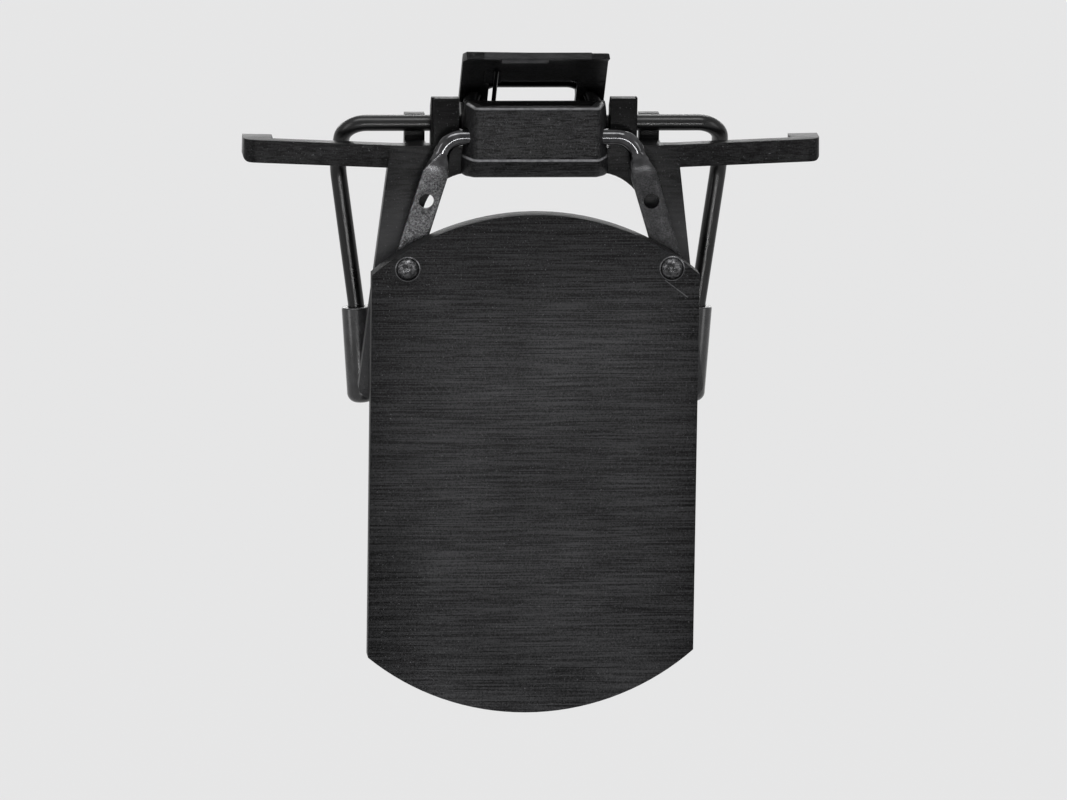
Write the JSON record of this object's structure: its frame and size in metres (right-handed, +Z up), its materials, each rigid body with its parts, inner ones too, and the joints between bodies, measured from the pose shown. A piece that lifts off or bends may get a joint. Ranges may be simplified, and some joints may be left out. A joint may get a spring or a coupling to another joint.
{
  "type": "clip-on eye blinder",
  "caption": "Flip-up eye blinder: a flat plate on a bent wire folds up from a moulded clip, whose sprung wire jaw grips the top of a spectacle lens.",
  "frame": {"origin": "the middle of the grip: halfway between the clip's two legs and the two sleeves of the jaw wire, where the lens is held", "axes": "+Z up along the plate, +Y from the plate to the wearer's eye, +X to the right as seen from the front"},
  "size_m": [0.053, 0.0111, 0.0615],
  "materials": {
    "clip_body": "moulded black, satin",
    "front_cover": "moulded black, satin",
    "detent_leaf": "plain spring steel",
    "jaw_wire": "black coated wire, satin",
    "thumb_lever": "moulded black, satin",
    "left_sleeve": "soft black vinyl, glossy",
    "right_sleeve": "soft black vinyl, glossy",
    "return_spring": "plain spring wire",
    "blinder_wire": "dark finish, worn to speckled metal on its flat ends",
    "blinder_plate": "black sheet with a fine grain across it",
    "left_rivet": "blackened, worn",
    "right_rivet": "blackened, worn",
    "left_washer": "plain steel",
    "right_washer": "plain steel"
  },
  "bodies": {
    "clip": {"clip_body": "clip_body", "front_cover": "front_cover", "detent_leaf": "detent_leaf"},
    "jaw": {"jaw_wire": "jaw_wire", "thumb_lever": "thumb_lever", "left_sleeve": "left_sleeve", "right_sleeve": "right_sleeve", "return_spring": "return_spring"},
    "blinder": {"blinder_wire": "blinder_wire", "blinder_plate": "blinder_plate", "left_rivet": "left_rivet", "right_rivet": "right_rivet", "left_washer": "left_washer", "right_washer": "right_washer"}
  },
  "joints": [
    {"name": "jaw_open", "type": "hinge", "parent": "clip", "child": "jaw", "pos_m": [0, -0.00005, 0.022], "axis": [1, 0, 0], "range_deg": [-4.5, 24], "stiffness_Nm_per_rad": 0.009, "springref_deg": -57.3, "deforming": ["return_spring"]},
    {"name": "blinder_flip", "type": "hinge", "parent": "clip", "child": "blinder", "pos_m": [0, -0.00395, 0.0214], "axis": [-1, 0, 0], "range_deg": [0, 110]}
  ]
}
